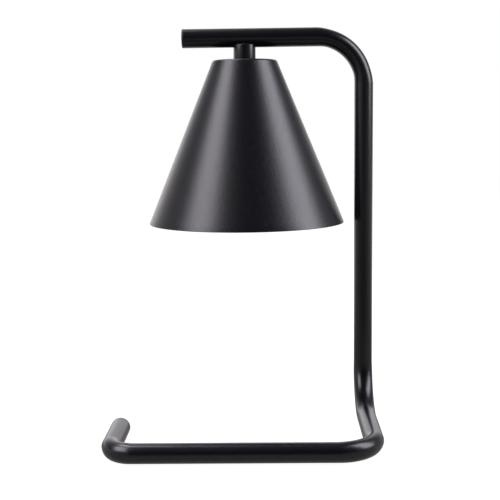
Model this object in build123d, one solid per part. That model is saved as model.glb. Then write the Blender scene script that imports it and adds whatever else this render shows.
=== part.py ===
from build123d import *
import os
from math import cos, pi, radians, sin, sqrt, tan

# Candle warmer: a bent tube stand with a conical shade and a twist-lock lamp, millimetres.
# +Z up, the front bar towards -Y, the arm reaches towards -X from the post.
# The origin is on the floor, under the middle of the outline.

# Frame tube
tube_diameter = 16.0
tube_wall = 1.0
arm_height = 330.0
arm_length = 152.5
base_width = 207.5
base_depth = 133.0
left_arm_length = 68.5
top_bend_radius = 40.5
lower_bend_radius = 42.0
right_corner_radius = 31.0
left_corner_radius = 19.0
# A bent tube flattens in the plane of the bend and widens across it.
bend_flattening = 0.07
bend_widening = 0.03
bend_ramp = 0.2
bend_steps = 8

# Shade
shade_offset = 101.4
shade_top_diameter = 54.6
shade_bottom_diameter = 169.0
shade_height = 138.6
shade_wall = 0.8
shade_shoulder_radius = 2.6

# Neck collar
collar_diameter = 19.0
collar_height = 10.6
collar_horn_height = 3.3
collar_chamfer = 1.2

# Threaded nipple and its nuts and washers
nipple_diameter = 10.0
nipple_bore = 8.0
nipple_top_end = 1.0
nipple_bottom_end = 1.5
clearance_hole_gap = 0.2
thread_gap = 0.05
saddle_nut_length = 14.0
saddle_nut_height = 4.0
flat_washer_diameter = 24.0
flat_washer_thickness = 1.2
lock_washer_diameter = 18.0
lock_washer_thickness = 0.8
lock_washer_teeth = 12
lock_washer_tooth_depth = 1.6
shade_nut_width = 14.0
shade_nut_height = 3.0

# Holder bracket and screws
bracket_width = 14.0
bracket_thickness = 1.5
bracket_end_margin = 3.8
screw_nut_gap = 0.6
screw_diameter = 3.0
screw_head_diameter = 5.5
screw_head_height = 2.6
screw_recess_depth = 3.4
screw_slot_width = 0.8
screw_slot_depth = 1.0
screw_end = 1.0

# Lampholder
holder_wall = 0.9
holder_height = 14.0
holder_edge = 1.0
holder_plate_thickness = 2.5
holder_recess_gap = 1.3
holder_recess_depth = 2.6
pin_spacing = 10.0
twist_angle = 25.0
keyhole_slot_width = 3.5
keyhole_diameter = 5.6
pin_room = 0.35
contact_thickness = 0.5
contact_gap = 0.3
barrel_diameter = 2.8
barrel_length = 3.5

# Lamp
lamp_seat_gap = 0.3
pin_shank_diameter = 2.8
pin_head_diameter = 4.9
pin_head_height = 2.2
pin_head_gap = 0.4
pin_head_chamfer = 0.4
pin_root = 4.0
lamp_base_diameter = 27.0
lamp_base_height = 13.0
lamp_base_neck_diameter = 23.0
lamp_base_shoulder = 5.0
lamp_base_edge = 1.0
reflector_diameter = 50.0
reflector_neck_diameter = 20.0
reflector_height = 38.0
reflector_wall = 1.5
reflector_neck_depth = 4.0
reflector_rim_height = 2.5
bowl_middle_share = 0.5
lamp_joint_gap = 0.1
front_glass_thickness = 1.8
capsule_diameter = 9.0
capsule_length = 17.0
capsule_pinch_width = 7.0
capsule_pinch_thickness = 3.0
capsule_pinch_length = 9.0
capsule_seat_depth = 3.0
capsule_wall = 0.8
filament_diameter = 1.6
filament_length = 5.0
filament_drop = 10.0
filament_post_diameter = 0.5
filament_post_spacing = 4.0

# Leads and crimp caps
lead_diameter = 1.9
lead_spacing = 5.2
lead_hole_gap = 0.15
lead_bend_radius = 3.0
lead_rise = 2.2
lead_run = 18.0
cap_diameter = 5.0
cap_length = 13.0
cap_end_radius = 1.5
crimp_entry = 6.0

# End pieces
end_flange_thickness = 2.0
end_flange_edge = 1.2
end_spigot_length = 9.0
end_spigot_gap = 0.05
end_spigot_wall = 1.6
cord_hole_diameter = 5.6
plug_flange_thickness = 1.5
plug_edge = 0.5

# Ballast bar
ballast_gap = 0.2
ballast_end_gap = 1.0
core_channel_width = 5.0
core_channel_depth = 2.8

# Derived positions
tube_radius = tube_diameter / 2
bore_radius = tube_radius - tube_wall
base_axis_height = tube_radius * (1 + bend_widening)
right_reach = tube_radius * (1 + bend_widening)
left_reach = base_width + tube_radius
front_reach = base_depth + tube_radius
rear_reach = shade_bottom_diameter / 2
post_x = (left_reach - right_reach) / 2
post_y = (front_reach - rear_reach) / 2
shade_x = post_x - shade_offset
arm_end_x = post_x - arm_length
front_bar_y = post_y - base_depth
left_arm_x = post_x - base_width
left_arm_end_y = front_bar_y + left_arm_length

# Heights of the stack that hangs from the arm, from the top down
collar_bottom = arm_height - tube_radius - collar_height
collar_top = arm_height - tube_radius + collar_horn_height
shade_top = collar_bottom
shade_bottom = shade_top - shade_height
flat_washer_top = shade_top - shade_wall
lock_washer_top = flat_washer_top - flat_washer_thickness
shade_nut_top = lock_washer_top - lock_washer_thickness
bracket_top = shade_nut_top - shade_nut_height
holder_top = bracket_top - bracket_thickness
holder_bottom = holder_top - holder_height
nipple_top = arm_height - bore_radius + saddle_nut_height + nipple_top_end
nipple_bottom = holder_top - nipple_bottom_end
pin_plate_top = holder_bottom + holder_plate_thickness
pin_head_bottom = pin_plate_top + pin_head_gap
pin_head_top = pin_head_bottom + pin_head_height
contact_bottom = pin_head_top + contact_gap
contact_top = contact_bottom + contact_thickness
lamp_top = holder_bottom - lamp_seat_gap
lamp_base_bottom = lamp_top - lamp_base_height
reflector_top = lamp_base_bottom + reflector_neck_depth
reflector_bottom = reflector_top - reflector_height
pin_radius = pin_spacing / 2
slot_inner = pin_radius - keyhole_slot_width / 2
slot_outer = pin_radius + keyhole_slot_width / 2
cavity_half_width = pin_head_diameter / 2 + pin_room
nut_corner_radius = shade_nut_width / 2 / cos(radians(30))
screw_offset = nut_corner_radius + screw_nut_gap + screw_diameter / 2
holder_radius = screw_offset + screw_head_diameter / 2 + clearance_hole_gap + holder_wall
lead_offset = lead_spacing / 2
lead_hole_radius = lead_diameter / 2 + lead_hole_gap
hole_radius = nipple_diameter / 2 + clearance_hole_gap
thread_radius = nipple_diameter / 2 + thread_gap

frame_points = [
    Vector(arm_end_x, post_y, arm_height),
    Vector(post_x, post_y, arm_height),
    Vector(post_x, post_y, base_axis_height),
    Vector(post_x, front_bar_y, base_axis_height),
    Vector(left_arm_x, front_bar_y, base_axis_height),
    Vector(left_arm_x, left_arm_end_y, base_axis_height),
]
frame_radii = [top_bend_radius, lower_bend_radius, right_corner_radius, left_corner_radius]


# How far the section has gone oval at this share of a bend, from 0 to 1.
def bend_weight(share):
    step = min(share, 1 - share, bend_ramp) / bend_ramp
    return step * step * (3 - 2 * step)


def straight_run(start, end, inset):
    plane = Plane(origin=start, z_dir=end - start)
    return extrude(plane * Circle(tube_radius - inset), (end - start).length)


def oval_bend(start, incoming, outgoing, radius, inset):
    normal = incoming.cross(outgoing).normalized()
    inward = normal.cross(incoming).normalized()
    centre = start + inward * radius
    turn = incoming.get_angle(outgoing)
    hinge = Axis(centre, normal)
    sections = []
    for step in range(bend_steps + 1):
        share = step / bend_steps
        weight = bend_weight(share)
        across = tube_radius * (1 + bend_widening * weight) - inset
        along = tube_radius * (1 - bend_flattening * weight) - inset
        tangent = incoming.rotate(Axis((0, 0, 0), normal), turn * share)
        outward = (inward * -radius).rotate(Axis((0, 0, 0), normal), turn * share)
        plane = Plane(origin=centre + outward, x_dir=normal, z_dir=tangent)
        sections.append(plane * Ellipse(across, along))
    return loft(sections)


# Everything inside the tube's outline along a bent path, drawn in by the inset.
def tube_run(points, radii, inset):
    pieces = []
    start = points[0]
    for index, radius in enumerate(radii):
        corner = points[index + 1]
        incoming = (corner - points[index]).normalized()
        outgoing = (points[index + 2] - corner).normalized()
        reach = radius * tan(radians(incoming.get_angle(outgoing) / 2))
        bend_start = corner - incoming * reach
        pieces.append(straight_run(start, bend_start, inset))
        pieces.append(oval_bend(bend_start, incoming, outgoing, radius, inset))
        start = corner + outgoing * reach
    pieces.append(straight_run(start, points[-1], inset))
    return pieces[0].fuse(*pieces[1:])


def disc(x, y, bottom, top, radius):
    return Pos(x, y, bottom) * extrude(Circle(radius), top - bottom)


# A ring on the shade axis.
def ring(bottom, top, outer_radius, inner_radius):
    return Pos(shade_x, post_y, bottom) * extrude(Circle(outer_radius) - Circle(inner_radius), top - bottom)


def make_frame_tube():
    outside = tube_run(frame_points, frame_radii, 0)
    bore = tube_run(frame_points, frame_radii, tube_wall)
    nipple_hole = disc(shade_x, post_y, arm_height - tube_diameter, arm_height, hole_radius)
    return outside - bore - nipple_hole


# A cap for an open tube end: the flange lies above z = 0, the hollow spigot below.
def end_piece(flange_thickness, edge):
    flange = fillet(extrude(Circle(tube_radius), flange_thickness).edges().group_by(Axis.Z)[-1], edge)
    spigot_radius = bore_radius - end_spigot_gap
    spigot = extrude(Circle(spigot_radius), -end_spigot_length)
    spigot = chamfer(spigot.edges().group_by(Axis.Z)[0], 0.5 * end_spigot_wall)
    hollow = extrude(Circle(spigot_radius - end_spigot_wall), -end_spigot_length)
    return flange + spigot - hollow


def make_arm_end_cap():
    cap = end_piece(end_flange_thickness, end_flange_edge)
    return Plane(origin=(arm_end_x, post_y, arm_height), z_dir=(-1, 0, 0)) * cap


def make_base_end_plug():
    plug = end_piece(plug_flange_thickness, plug_edge)
    plug -= extrude(Circle(cord_hole_diameter / 2), plug_flange_thickness)
    return Plane(origin=(left_arm_x, left_arm_end_y, base_axis_height), z_dir=(0, 1, 0)) * plug


def make_base_ballast_bar():
    right_end = Vector(post_x, post_y - lower_bend_radius - ballast_end_gap, base_axis_height)
    left_end = Vector(left_arm_x, left_arm_end_y - end_spigot_length - ballast_end_gap, base_axis_height)
    points = [right_end, frame_points[3], frame_points[4], left_end]
    radii = [right_corner_radius, left_corner_radius]
    bar = tube_run(points, radii, tube_wall + ballast_gap)
    channel_path = FilletPolyline(*points, radius=radii)
    channel_section = Plane(origin=right_end, x_dir=(1, 0, 0), z_dir=(0, -1, 0)) * Rectangle(
        core_channel_width, 2 * core_channel_depth
    )
    channel = sweep(channel_section, path=channel_path)
    return bar - Pos(0, 0, bore_radius - ballast_gap) * channel


def make_saddle_nut():
    bar = Plane(origin=(shade_x - saddle_nut_length / 2, post_y, arm_height), z_dir=(1, 0, 0)) * extrude(
        Circle(bore_radius - thread_gap), saddle_nut_length
    )
    top = arm_height - bore_radius + saddle_nut_height
    above = Pos(shade_x, post_y, top) * Box(
        2 * saddle_nut_length, 2 * tube_diameter, tube_diameter, align=(Align.CENTER, Align.CENTER, Align.MIN)
    )
    thread = disc(shade_x, post_y, arm_height - tube_diameter, arm_height + tube_diameter, thread_radius)
    return bar - above - thread


def make_neck_collar():
    body = extrude(Circle(collar_diameter / 2), collar_top - collar_bottom)
    body = chamfer(body.edges().group_by(Axis.Z)[-1], collar_chamfer)
    body = Pos(shade_x, post_y, collar_bottom) * body
    groove = Plane(origin=(shade_x - collar_diameter, post_y, arm_height), z_dir=(1, 0, 0)) * extrude(
        Circle(tube_radius + thread_gap), 2 * collar_diameter
    )
    return body - groove - disc(shade_x, post_y, collar_bottom, collar_top, hole_radius)


def make_threaded_nipple():
    return ring(nipple_bottom, nipple_top, nipple_diameter / 2, nipple_bore / 2)


# Half outline of the cone, drawn in by the inset and closed to the axis.
def shade_profile(inset, shoulder):
    slope = (shade_bottom_diameter - shade_top_diameter) / 2 / shade_height
    side_inset = inset * sqrt(1 + slope * slope)
    top = shade_height - inset
    top_radius = shade_top_diameter / 2 + slope * inset - side_inset
    bottom_radius = shade_bottom_diameter / 2 - side_inset
    outline = make_face(Polyline((0, 0), (bottom_radius, 0), (top_radius, top), (0, top), close=True))
    corner = outline.vertices().filter_by(lambda v: abs(v.X - top_radius) < 0.01 and v.Y > top / 2)
    return fillet(corner, shoulder)


def make_shade():
    outer = shade_profile(0, shade_shoulder_radius)
    inner = shade_profile(shade_wall, shade_shoulder_radius - shade_wall)
    section = outer - inner - Rectangle(2 * hole_radius, 3 * shade_height)
    return Pos(shade_x, post_y, shade_bottom) * revolve(Plane.XZ * section, Axis.Z)


def make_flat_washer():
    return ring(lock_washer_top, flat_washer_top, flat_washer_diameter / 2, hole_radius)


def make_lock_washer():
    washer = Circle(lock_washer_diameter / 2) - Circle(hole_radius)
    notch_width = pi * lock_washer_diameter / lock_washer_teeth / 2
    notch = Rectangle(notch_width, 2 * lock_washer_tooth_depth)
    for tooth in range(lock_washer_teeth):
        washer -= Rot(0, 0, 360 / lock_washer_teeth * tooth) * Pos(0, lock_washer_diameter / 2) * notch
    return Pos(shade_x, post_y, shade_nut_top) * extrude(washer, lock_washer_thickness)


def make_shade_nut():
    hexagon = RegularPolygon(shade_nut_width / 2, 6, major_radius=False) - Circle(thread_radius)
    nut = extrude(hexagon, shade_nut_height)
    # The corners are turned off at 45 degrees on the lower face.
    corner_cone = Cone(
        shade_nut_width / 2, shade_nut_width / 2 + shade_nut_height, shade_nut_height,
        align=(Align.CENTER, Align.CENTER, Align.MIN),
    )
    return Pos(shade_x, post_y, bracket_top) * (nut & corner_cone)


def make_holder_bracket():
    strip = SlotOverall(2 * (screw_offset + bracket_end_margin), bracket_width, rotation=90)
    strip -= Circle(thread_radius)
    for side in (-1, 1):
        strip -= Pos(0, side * screw_offset) * Circle(screw_diameter / 2 + thread_gap)
    return Pos(shade_x, post_y, holder_top) * extrude(strip, bracket_thickness)


def make_holder_screws():
    head_top = holder_bottom + screw_recess_depth
    head_bottom = head_top - screw_head_height
    screws = []
    for side in (-1, 1):
        y = post_y + side * screw_offset
        screw = disc(shade_x, y, head_bottom, head_top, screw_head_diameter / 2)
        screw += disc(shade_x, y, head_top, bracket_top + screw_end, screw_diameter / 2)
        screw -= Pos(shade_x, y, head_bottom) * Box(screw_head_diameter, screw_slot_width, 2 * screw_slot_depth)
        screws.append(screw)
    return Compound(children=screws)


# Where one pin stands when locked, and when turned back to its keyhole.
def pin_places(x_side):
    locked = (x_side * pin_radius, 0)
    turned = (x_side * pin_radius * cos(radians(twist_angle)), -x_side * pin_radius * sin(radians(twist_angle)))
    return locked, turned


# Flat ring sector from the locked place to the keyhole.
def sector(x_side, inner, outer):
    far = 2 * outer
    turned = radians(twist_angle)
    wedge = make_face(Polyline(
        (0, 0),
        (x_side * far, 0),
        (x_side * far, -x_side * far * tan(turned / 2)),
        (x_side * far * cos(turned), -x_side * far * sin(turned)),
        close=True,
    ))
    return (Circle(outer) - Circle(inner)) & wedge


def keyhole(x_side):
    locked, turned = pin_places(x_side)
    shape = sector(x_side, slot_inner, slot_outer)
    shape += Pos(*locked) * Circle(keyhole_slot_width / 2)
    return shape + Pos(*turned) * Circle(keyhole_diameter / 2)


def pin_cavity(x_side):
    locked, turned = pin_places(x_side)
    shape = sector(x_side, pin_radius - cavity_half_width, pin_radius + cavity_half_width)
    shape += Pos(*locked) * Circle(cavity_half_width)
    return shape + Pos(*turned) * Circle(cavity_half_width)


def make_holder_body():
    body = extrude(Circle(holder_radius), holder_height)
    body = chamfer(body.edges().filter_by(GeomType.CIRCLE), holder_edge)
    recess_bottom = holder_height - holder_recess_depth
    body -= Pos(0, 0, recess_bottom) * extrude(
        Circle(nipple_diameter / 2 + holder_recess_gap), holder_recess_depth
    )
    cavity_height = contact_top - pin_plate_top
    for x_side in (-1, 1):
        body -= extrude(keyhole(x_side), holder_plate_thickness)
        body -= Pos(0, 0, holder_plate_thickness) * extrude(pin_cavity(x_side), cavity_height)
        body -= Pos(x_side * lead_offset, 0, holder_plate_thickness) * extrude(
            Circle(lead_hole_radius), recess_bottom
        )
        body -= Pos(x_side * lead_offset, 0, holder_plate_thickness + cavity_height) * extrude(
            Circle(barrel_diameter / 2 + lead_hole_gap), barrel_length
        )
        screw_place = Pos(0, x_side * screw_offset, 0)
        body -= screw_place * extrude(Circle(screw_diameter / 2 + clearance_hole_gap), holder_height)
        body -= screw_place * extrude(Circle(screw_head_diameter / 2 + clearance_hole_gap), screw_recess_depth)
    return Pos(shade_x, post_y, holder_bottom) * body


def make_contact(x_side):
    leaf_half_width = cavity_half_width - pin_room
    leaf = sector(x_side, pin_radius - leaf_half_width, pin_radius + leaf_half_width)
    leaf += Pos(x_side * pin_radius, 0) * Circle(leaf_half_width)
    contact = Pos(0, 0, contact_bottom) * extrude(leaf, contact_thickness)
    barrel = Circle(barrel_diameter / 2) - Circle(lead_diameter / 2 + thread_gap)
    contact += Pos(x_side * lead_offset, 0, contact_top) * extrude(barrel, barrel_length)
    return Pos(shade_x, post_y, 0) * contact


# A lead rises through the nipple and turns along the arm.
def lead_path(x_side):
    x = shade_x + x_side * lead_offset
    top = nipple_top + lead_rise
    return FilletPolyline(
        (x, post_y, contact_top),
        (x, post_y, top),
        (x + x_side * lead_run, post_y, top),
        radius=lead_bend_radius,
    )


def make_lead(x_side):
    path = lead_path(x_side)
    return sweep(Plane(origin=path @ 0, z_dir=path % 0) * Circle(lead_diameter / 2), path=path)


def make_crimp_caps():
    caps = []
    for x_side in (-1, 1):
        mouth = lead_path(x_side) @ 1 - Vector(x_side * crimp_entry, 0, 0)
        cap = extrude(Circle(cap_diameter / 2), cap_length)
        cap = fillet(cap.edges().group_by(Axis.Z)[-1], cap_end_radius)
        cap -= extrude(Circle(lead_diameter / 2 + thread_gap), crimp_entry)
        caps.append(Plane(origin=mouth, z_dir=(x_side, 0, 0)) * cap)
    return Compound(children=caps)


def make_lamp_base():
    radius = lamp_base_diameter / 2
    neck_radius = lamp_base_neck_diameter / 2
    outline = make_face(Polyline(
        (0, lamp_base_bottom),
        (neck_radius, lamp_base_bottom),
        (radius, lamp_base_bottom + lamp_base_shoulder),
        (radius, lamp_top),
        (0, lamp_top),
        close=True,
    ))
    rim = outline.vertices().sort_by(lambda v: v.X + v.Y)[-1]
    base = Pos(shade_x, post_y) * revolve(Plane.XZ * chamfer(rim, lamp_base_edge), Axis.Z)
    base -= disc(shade_x, post_y, lamp_base_bottom, reflector_top, reflector_neck_diameter / 2 + lamp_joint_gap)
    base -= Pos(shade_x, post_y, reflector_top) * extrude(
        Rectangle(capsule_pinch_width + 2 * lamp_joint_gap, capsule_pinch_thickness + 2 * lamp_joint_gap),
        capsule_seat_depth,
    )
    for side in (-1, 1):
        base -= disc(
            shade_x + side * pin_radius, post_y, lamp_top - pin_root, lamp_top,
            pin_shank_diameter / 2 + lamp_joint_gap,
        )
    return base


def make_lamp_pins():
    pins = []
    for side in (-1, 1):
        x = shade_x + side * pin_radius
        pin = disc(x, post_y, lamp_top - pin_root, pin_head_bottom, pin_shank_diameter / 2)
        head = disc(x, post_y, pin_head_bottom, pin_head_top, pin_head_diameter / 2)
        pins.append(pin + chamfer(head.edges().group_by(Axis.Z)[-1], pin_head_chamfer))
    return Compound(children=pins)


# The bowl opens on an arc, close to a parabola, from its neck to its rim, drawn in by the inset.
def bowl_outline(inset):
    neck_radius = reflector_neck_diameter / 2
    rim_radius = reflector_diameter / 2
    bowl_top = lamp_base_bottom - lamp_joint_gap
    bowl_depth = bowl_top - reflector_bottom - reflector_rim_height
    middle_radius = sqrt(neck_radius ** 2 + bowl_middle_share * (rim_radius ** 2 - neck_radius ** 2))
    neck_end = (neck_radius - inset, bowl_top)
    middle = (middle_radius - inset, bowl_top - bowl_middle_share * bowl_depth)
    rim_start = (rim_radius - inset, bowl_top - bowl_depth)
    bowl = ThreePointArc(neck_end, middle, rim_start)
    rest = Polyline(
        rim_start,
        (rim_radius - inset, reflector_bottom),
        (0, reflector_bottom),
        (0, reflector_top),
        (neck_radius - inset, reflector_top),
        neck_end,
    )
    return make_face([bowl, rest])


def make_lamp_reflector():
    section = bowl_outline(0) - bowl_outline(reflector_wall)
    return Pos(shade_x, post_y) * revolve(Plane.XZ * section, Axis.Z)


def make_lamp_front_glass():
    radius = reflector_diameter / 2 - reflector_wall - lamp_joint_gap
    return disc(shade_x, post_y, reflector_bottom, reflector_bottom + front_glass_thickness, radius)


def make_lamp_capsule():
    radius = capsule_diameter / 2
    pinch_top = reflector_top + capsule_seat_depth
    bulb_top = pinch_top - capsule_pinch_length
    bulb_bottom = bulb_top - capsule_length
    tip_radius = radius - 2 * capsule_wall
    bulb = disc(shade_x, post_y, bulb_bottom, bulb_top, radius)
    bulb = fillet(bulb.edges().group_by(Axis.Z)[0], tip_radius + capsule_wall)
    bulb = chamfer(bulb.edges().group_by(Axis.Z)[-1], capsule_wall)
    room = disc(shade_x, post_y, bulb_bottom + capsule_wall, bulb_top - capsule_wall, radius - capsule_wall)
    room = fillet(room.edges().group_by(Axis.Z)[0], tip_radius)
    pinch = Pos(shade_x, post_y, bulb_top - capsule_wall / 2) * extrude(
        Rectangle(capsule_pinch_width, capsule_pinch_thickness), capsule_pinch_length + capsule_wall / 2
    )
    return bulb + pinch - room


def make_lamp_filament():
    room_top = reflector_top + capsule_seat_depth - capsule_pinch_length - capsule_wall
    coil_bottom = room_top - filament_drop
    coil = disc(shade_x, post_y, coil_bottom, coil_bottom + filament_length, filament_diameter / 2)
    filament = coil
    for side in (-1, 1):
        x = shade_x + side * filament_post_spacing / 2
        foot = coil_bottom if side < 0 else coil_bottom + filament_length - filament_post_diameter
        filament += disc(x, post_y, foot, room_top, filament_post_diameter / 2)
        filament += Pos(shade_x + side * filament_post_spacing / 4, post_y, foot) * Box(
            filament_post_spacing / 2 + filament_post_diameter, filament_post_diameter, filament_post_diameter,
            align=(Align.CENTER, Align.CENTER, Align.MIN),
        )
    return filament


parts = {
    "frame_tube": make_frame_tube(),
    "arm_end_cap": make_arm_end_cap(),
    "base_end_plug": make_base_end_plug(),
    "base_ballast_bar": make_base_ballast_bar(),
    "saddle_nut": make_saddle_nut(),
    "neck_collar": make_neck_collar(),
    "threaded_nipple": make_threaded_nipple(),
    "shade": make_shade(),
    "flat_washer": make_flat_washer(),
    "lock_washer": make_lock_washer(),
    "shade_nut": make_shade_nut(),
    "holder_bracket": make_holder_bracket(),
    "holder_screws": make_holder_screws(),
    "holder_body": make_holder_body(),
    "left_contact": make_contact(-1),
    "right_contact": make_contact(1),
    "left_lead": make_lead(-1),
    "right_lead": make_lead(1),
    "crimp_caps": make_crimp_caps(),
    "lamp_base": make_lamp_base(),
    "lamp_pins": make_lamp_pins(),
    "lamp_reflector": make_lamp_reflector(),
    "lamp_front_glass": make_lamp_front_glass(),
    "lamp_capsule": make_lamp_capsule(),
    "lamp_filament": make_lamp_filament(),
}

os.makedirs("parts", exist_ok=True)
for name, shape in parts.items():
    export_step(shape, f"parts/{name}.step")
    print(name, round(shape.volume, 1))
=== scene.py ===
import math
import bmesh
import bpy
from mathutils import Matrix, Vector


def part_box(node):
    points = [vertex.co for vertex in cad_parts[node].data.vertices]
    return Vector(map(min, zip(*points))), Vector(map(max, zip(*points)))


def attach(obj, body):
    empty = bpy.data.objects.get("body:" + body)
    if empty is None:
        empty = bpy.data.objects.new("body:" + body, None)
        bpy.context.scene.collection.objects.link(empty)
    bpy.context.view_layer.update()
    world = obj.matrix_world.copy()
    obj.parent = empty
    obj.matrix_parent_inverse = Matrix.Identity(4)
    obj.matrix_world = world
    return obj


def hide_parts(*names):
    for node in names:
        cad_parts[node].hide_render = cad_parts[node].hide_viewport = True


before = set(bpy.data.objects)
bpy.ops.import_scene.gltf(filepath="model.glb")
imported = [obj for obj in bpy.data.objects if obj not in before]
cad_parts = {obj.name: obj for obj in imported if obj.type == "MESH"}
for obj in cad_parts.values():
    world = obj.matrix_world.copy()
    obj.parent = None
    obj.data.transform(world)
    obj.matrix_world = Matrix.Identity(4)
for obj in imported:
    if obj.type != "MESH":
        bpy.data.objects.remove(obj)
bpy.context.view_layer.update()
mm = 0.001
print("frame loaded,", len(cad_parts), "nodes")


def linearColour(hexCode):  # sRGB hex to Blender's linear values
    channels = [int(hexCode[i:i + 2], 16) / 255 for i in (1, 3, 5)]
    return [c / 12.92 if c <= 0.04045 else ((c + 0.055) / 1.055) ** 2.4 for c in channels] + [1.0]


def addNode(tree, kind, inputs=None, **settings):  # an input takes a node, a socket or a plain value
    node = tree.nodes.new(kind)
    for name, value in settings.items():
        setattr(node, name, value)
    for name, value in (inputs or {}).items():
        if isinstance(value, bpy.types.Node):
            value = value.outputs[0]
        if isinstance(value, bpy.types.NodeSocket):
            tree.links.new(value, node.inputs[name])
        else:
            node.inputs[name].default_value = value
    return node


def newMaterial(name, colour, **sockets):  # a Principled material, its constants set on the shader itself
    material = bpy.data.materials.new(name)
    material.use_nodes = True
    tree = material.node_tree
    shader = tree.nodes["Principled BSDF"]
    shader.inputs["Base Color"].default_value = linearColour(colour)
    for socket, value in sockets.items():
        shader.inputs[socket.replace("_", " ")].default_value = value
    place = addNode(tree, "ShaderNodeTexCoord").outputs["Object"]
    return material, tree, shader, place


def addRelief(tree, shader, height, depth, strength=1.0):  # a pattern as bump, its depth in mm
    bump = addNode(tree, "ShaderNodeBump", {"Height": height, "Strength": strength, "Distance": depth * mm})
    tree.links.new(bump.outputs["Normal"], shader.inputs["Normal"])


noiseRange = (0.3, 0.7)  # most values of a noise lie between these


def addRoughness(tree, shader, pattern, low, high):  # a pattern drives the roughness
    spread = addNode(tree, "ShaderNodeMapRange", {
        0: pattern, 1: noiseRange[0], 2: noiseRange[1], 3: low, 4: high})
    tree.links.new(spread.outputs[0], shader.inputs["Roughness"])


def addTint(tree, shader, pattern, dark, light):  # a pattern drives the colour between two tones
    tint = addNode(tree, "ShaderNodeValToRGB", {"Fac": pattern})
    setStops(tint.color_ramp, [(noiseRange[0], linearColour(dark)), (noiseRange[1], linearColour(light))])
    tree.links.new(tint.outputs["Color"], shader.inputs["Base Color"])


def setStops(ramp, stops, interpolation="LINEAR"):  # stops are (position, linear colour)
    ramp.interpolation = interpolation
    while len(ramp.elements) < len(stops):
        ramp.elements.new(0.5)
    for element, (place, colour) in zip(ramp.elements, stops):
        element.position = place
        element.color = colour


def nodeBox(name):  # a CAD node's corners, mm
    low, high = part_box(name)
    return low / mm, high / mm


def addPiece(name, mesh, material):
    piece = bpy.data.objects.new(name, mesh)
    bpy.context.scene.collection.objects.link(piece)
    mesh.materials.clear()
    mesh.materials.append(material)
    return piece


def finishPiece(piece, body, slot, *nodes):  # what every finished piece tells the frame
    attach(piece, body)
    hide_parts(*nodes)
    print("made", piece.name, len(piece.data.polygons), "faces")


def roundOutline(corners, steps=6):  # corners are (radius, height, rounding), mm, once round a section
    outline = []
    for index, (x, y, rounding) in enumerate(corners):
        here = Vector((x, y))
        if rounding == 0:
            outline.append((x, y))
            continue
        before = Vector(corners[index - 1][:2]) - here
        after = Vector(corners[(index + 1) % len(corners)][:2]) - here
        half = before.angle(after) / 2
        most = 0.49 * min(before.length, after.length)  # each rounding keeps to its half of an edge
        reach = min(rounding / math.tan(half), most)
        radius = reach * math.tan(half)
        centre = here + (before.normalized() + after.normalized()).normalized() * radius / math.sin(half)
        first = here + before.normalized() * reach - centre
        last = here + after.normalized() * reach - centre
        start = math.atan2(first.y, first.x)
        turn = math.remainder(math.atan2(last.y, last.x) - start, 2 * math.pi)
        for step in range(steps + 1):
            angle = start + turn * step / steps
            outline.append((centre.x + radius * math.cos(angle), centre.y + radius * math.sin(angle)))
    return outline


def turnMesh(name, outline, place, sides=96):  # turns a closed outline about Z, mm in, metres out
    shape = bmesh.new()
    rings = []
    for radius, height in outline:
        if radius < 1e-6:
            rings.append([shape.verts.new((0, 0, height))])
            continue
        angles = [2 * math.pi * side / sides for side in range(sides)]
        rings.append([shape.verts.new((radius * math.cos(a), radius * math.sin(a), height)) for a in angles])
    for index, ring in enumerate(rings):
        above = rings[(index + 1) % len(rings)]
        if len(ring) == 1 and len(above) == 1:
            continue
        for side in range(sides):
            following = (side + 1) % sides
            corners = [ring[side % len(ring)], ring[following % len(ring)],
                       above[following % len(above)], above[side % len(above)]]
            shape.faces.new(list(dict.fromkeys(corners)))
    return closeMesh(name, shape, place)


def turnRing(name, place, radius, low, high, bore=0, edges=(0, 0, 0), sides=96, steps=4):
    boreEdge, lowEdge, highEdge = edges  # roundings at the bore, then outside at the low and high ends
    return turnMesh(name, roundOutline([
        (bore, low, boreEdge), (radius, low, lowEdge), (radius, high, highEdge), (bore, high, boreEdge)],
        steps), place, sides)


def boxMesh(name, place, size, edge=0):  # a block about its middle
    shape = bmesh.new()
    bmesh.ops.create_cube(shape, size=1.0, matrix=Matrix.Diagonal((*size, 1)))
    if edge:
        bmesh.ops.bevel(shape, geom=shape.edges, offset=edge, segments=3, affect="EDGES")
    return closeMesh(name, shape, place)


def closeMesh(name, shape, place, sharpAngle=35):  # merges, places and shades a shape drawn in mm
    bmesh.ops.remove_doubles(shape, verts=shape.verts, dist=1e-4)
    bmesh.ops.transform(shape, matrix=Matrix.Scale(mm, 4) @ place, verts=shape.verts)
    bmesh.ops.recalc_face_normals(shape, faces=shape.faces)
    mesh = bpy.data.meshes.new(name)
    shape.to_mesh(mesh)
    shape.free()
    smoothMesh(mesh, sharpAngle)
    return mesh


def smoothMesh(mesh, sharpAngle=35):
    mesh.polygons.foreach_set("use_smooth", [True] * len(mesh.polygons))
    mesh.set_sharp_from_angle(angle=math.radians(sharpAngle))


def applyModifiers(piece):
    graph = bpy.context.evaluated_depsgraph_get()
    made = bpy.data.meshes.new_from_object(piece.evaluated_get(graph), depsgraph=graph)
    made.name = piece.name
    piece.modifiers.clear()
    piece.data = made


def combine(piece, mesh, operation):  # welds the mesh to the piece, or cuts it out
    tool = addPiece("tool", mesh, piece.data.materials[0])
    modifier = piece.modifiers.new("combine", "BOOLEAN")
    modifier.operation = operation
    modifier.solver = "EXACT"
    modifier.object = tool
    applyModifiers(piece)
    bpy.data.objects.remove(tool)


def cutAway(piece, mesh):
    combine(piece, mesh, "DIFFERENCE")


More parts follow.
